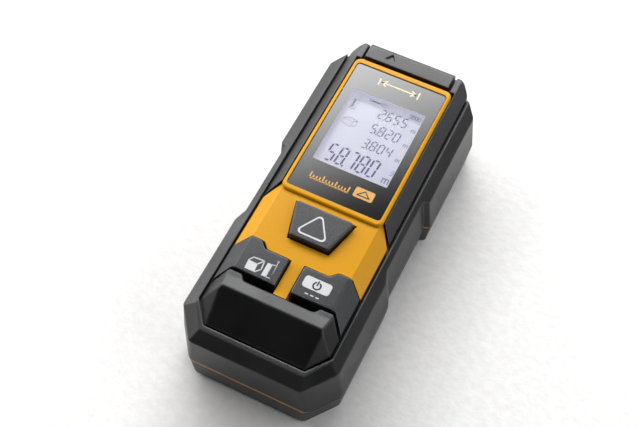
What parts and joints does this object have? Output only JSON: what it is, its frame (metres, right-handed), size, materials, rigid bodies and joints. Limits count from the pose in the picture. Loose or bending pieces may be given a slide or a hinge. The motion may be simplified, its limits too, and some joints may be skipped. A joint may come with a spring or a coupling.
{
  "type": "laser distance meter",
  "caption": "Hand-held laser distance meter with a display window, a measure button, two keys, a grippy bumper and a battery cover on its back.",
  "frame": {"origin": "middle of the footprint, on the flat back", "axes": "+Z out of the display, +Y towards the laser end, +X to the right of someone reading the display"},
  "size_m": [0.0444, 0.0974, 0.0254],
  "materials": {
    "charcoal_shell": "fine grained moulded charcoal plastic",
    "yellow_shell": "satin amber yellow moulded plastic",
    "bumper_rubber": "satin soft overmould, dark warm grey",
    "rest_gloss": "smooth near-black moulded plastic",
    "key_rubber": "fine grained charcoal key rubber with light printed icons",
    "window": "clear display window with a dark printed border",
    "lcd": "pale lavender liquid crystal panel",
    "white_plastic": "white diffusing plastic",
    "seal_rubber": "black sealing rubber",
    "circuit_board": "green solder mask",
    "black_plastic": "black inner plastic",
    "spring_steel": "nickel plated spring steel",
    "screw_steel": "dark plated steel",
    "cell_jacket": "printed steel cell jacket, no lettering",
    "optics_metal": "die-cast optics carrier",
    "tube_brass": "turned laser tube",
    "optic_glass": "coated optical glass",
    "label_paper": "plain blank label foil"
  },
  "bodies": {
    "casing": {"rear_housing": "charcoal_shell", "housing_seal": "seal_rubber", "front_housing": "yellow_shell", "bumper": "bumper_rubber", "head_frame": "charcoal_shell", "head_plate": "charcoal_shell", "keypad_mat": "seal_rubber", "thumb_rest": "rest_gloss", "display_window": "window", "lcd_backlight": "white_plastic", "lcd_panel": "lcd", "lcd_connector": "seal_rubber", "main_board": "circuit_board", "measure_switch": "spring_steel", "mode_switch": "spring_steel", "power_switch": "spring_steel", "controller_chip": "black_plastic", "buzzer": "black_plastic", "board_screws": "screw_steel", "optics_block": "optics_metal", "receiver_lens": "optic_glass", "laser_tube": "tube_brass", "collimator_lens": "optic_glass", "laser_diode": "spring_steel", "detector_board": "circuit_board", "end_bezel": "charcoal_shell", "receiver_window": "optic_glass", "laser_window": "optic_glass", "battery_tray": "black_plastic", "cell_left": "cell_jacket", "cell_right": "cell_jacket", "cell_spring_left": "spring_steel", "cell_spring_right": "spring_steel", "rear_contact": "spring_steel", "contact_left": "spring_steel", "contact_right": "spring_steel", "housing_screws": "screw_steel", "rating_label": "label_paper"},
    "measure_button": {"measure_button": "key_rubber"},
    "mode_key": {"mode_key": "key_rubber"},
    "power_key": {"power_key": "key_rubber"},
    "battery_cover": {"battery_cover": "charcoal_shell"}
  },
  "joints": [
    {"name": "measure_press", "type": "slide", "parent": "casing", "child": "measure_button", "axis": [0, 0, -1], "range_m": [0, 0.0008], "stiffness_N_per_m": 1500, "springref_m": -0.0006},
    {"name": "mode_press", "type": "slide", "parent": "casing", "child": "mode_key", "axis": [0, 0, -1], "range_m": [0, 0.0008], "stiffness_N_per_m": 1500, "springref_m": -0.0006},
    {"name": "power_press", "type": "slide", "parent": "casing", "child": "power_key", "axis": [0, 0, -1], "range_m": [0, 0.0008], "stiffness_N_per_m": 1500, "springref_m": -0.0006},
    {"name": "cover_lift", "type": "slide", "parent": "casing", "child": "battery_cover", "axis": [0, 0, -1], "range_m": [0, 0.012]}
  ]
}
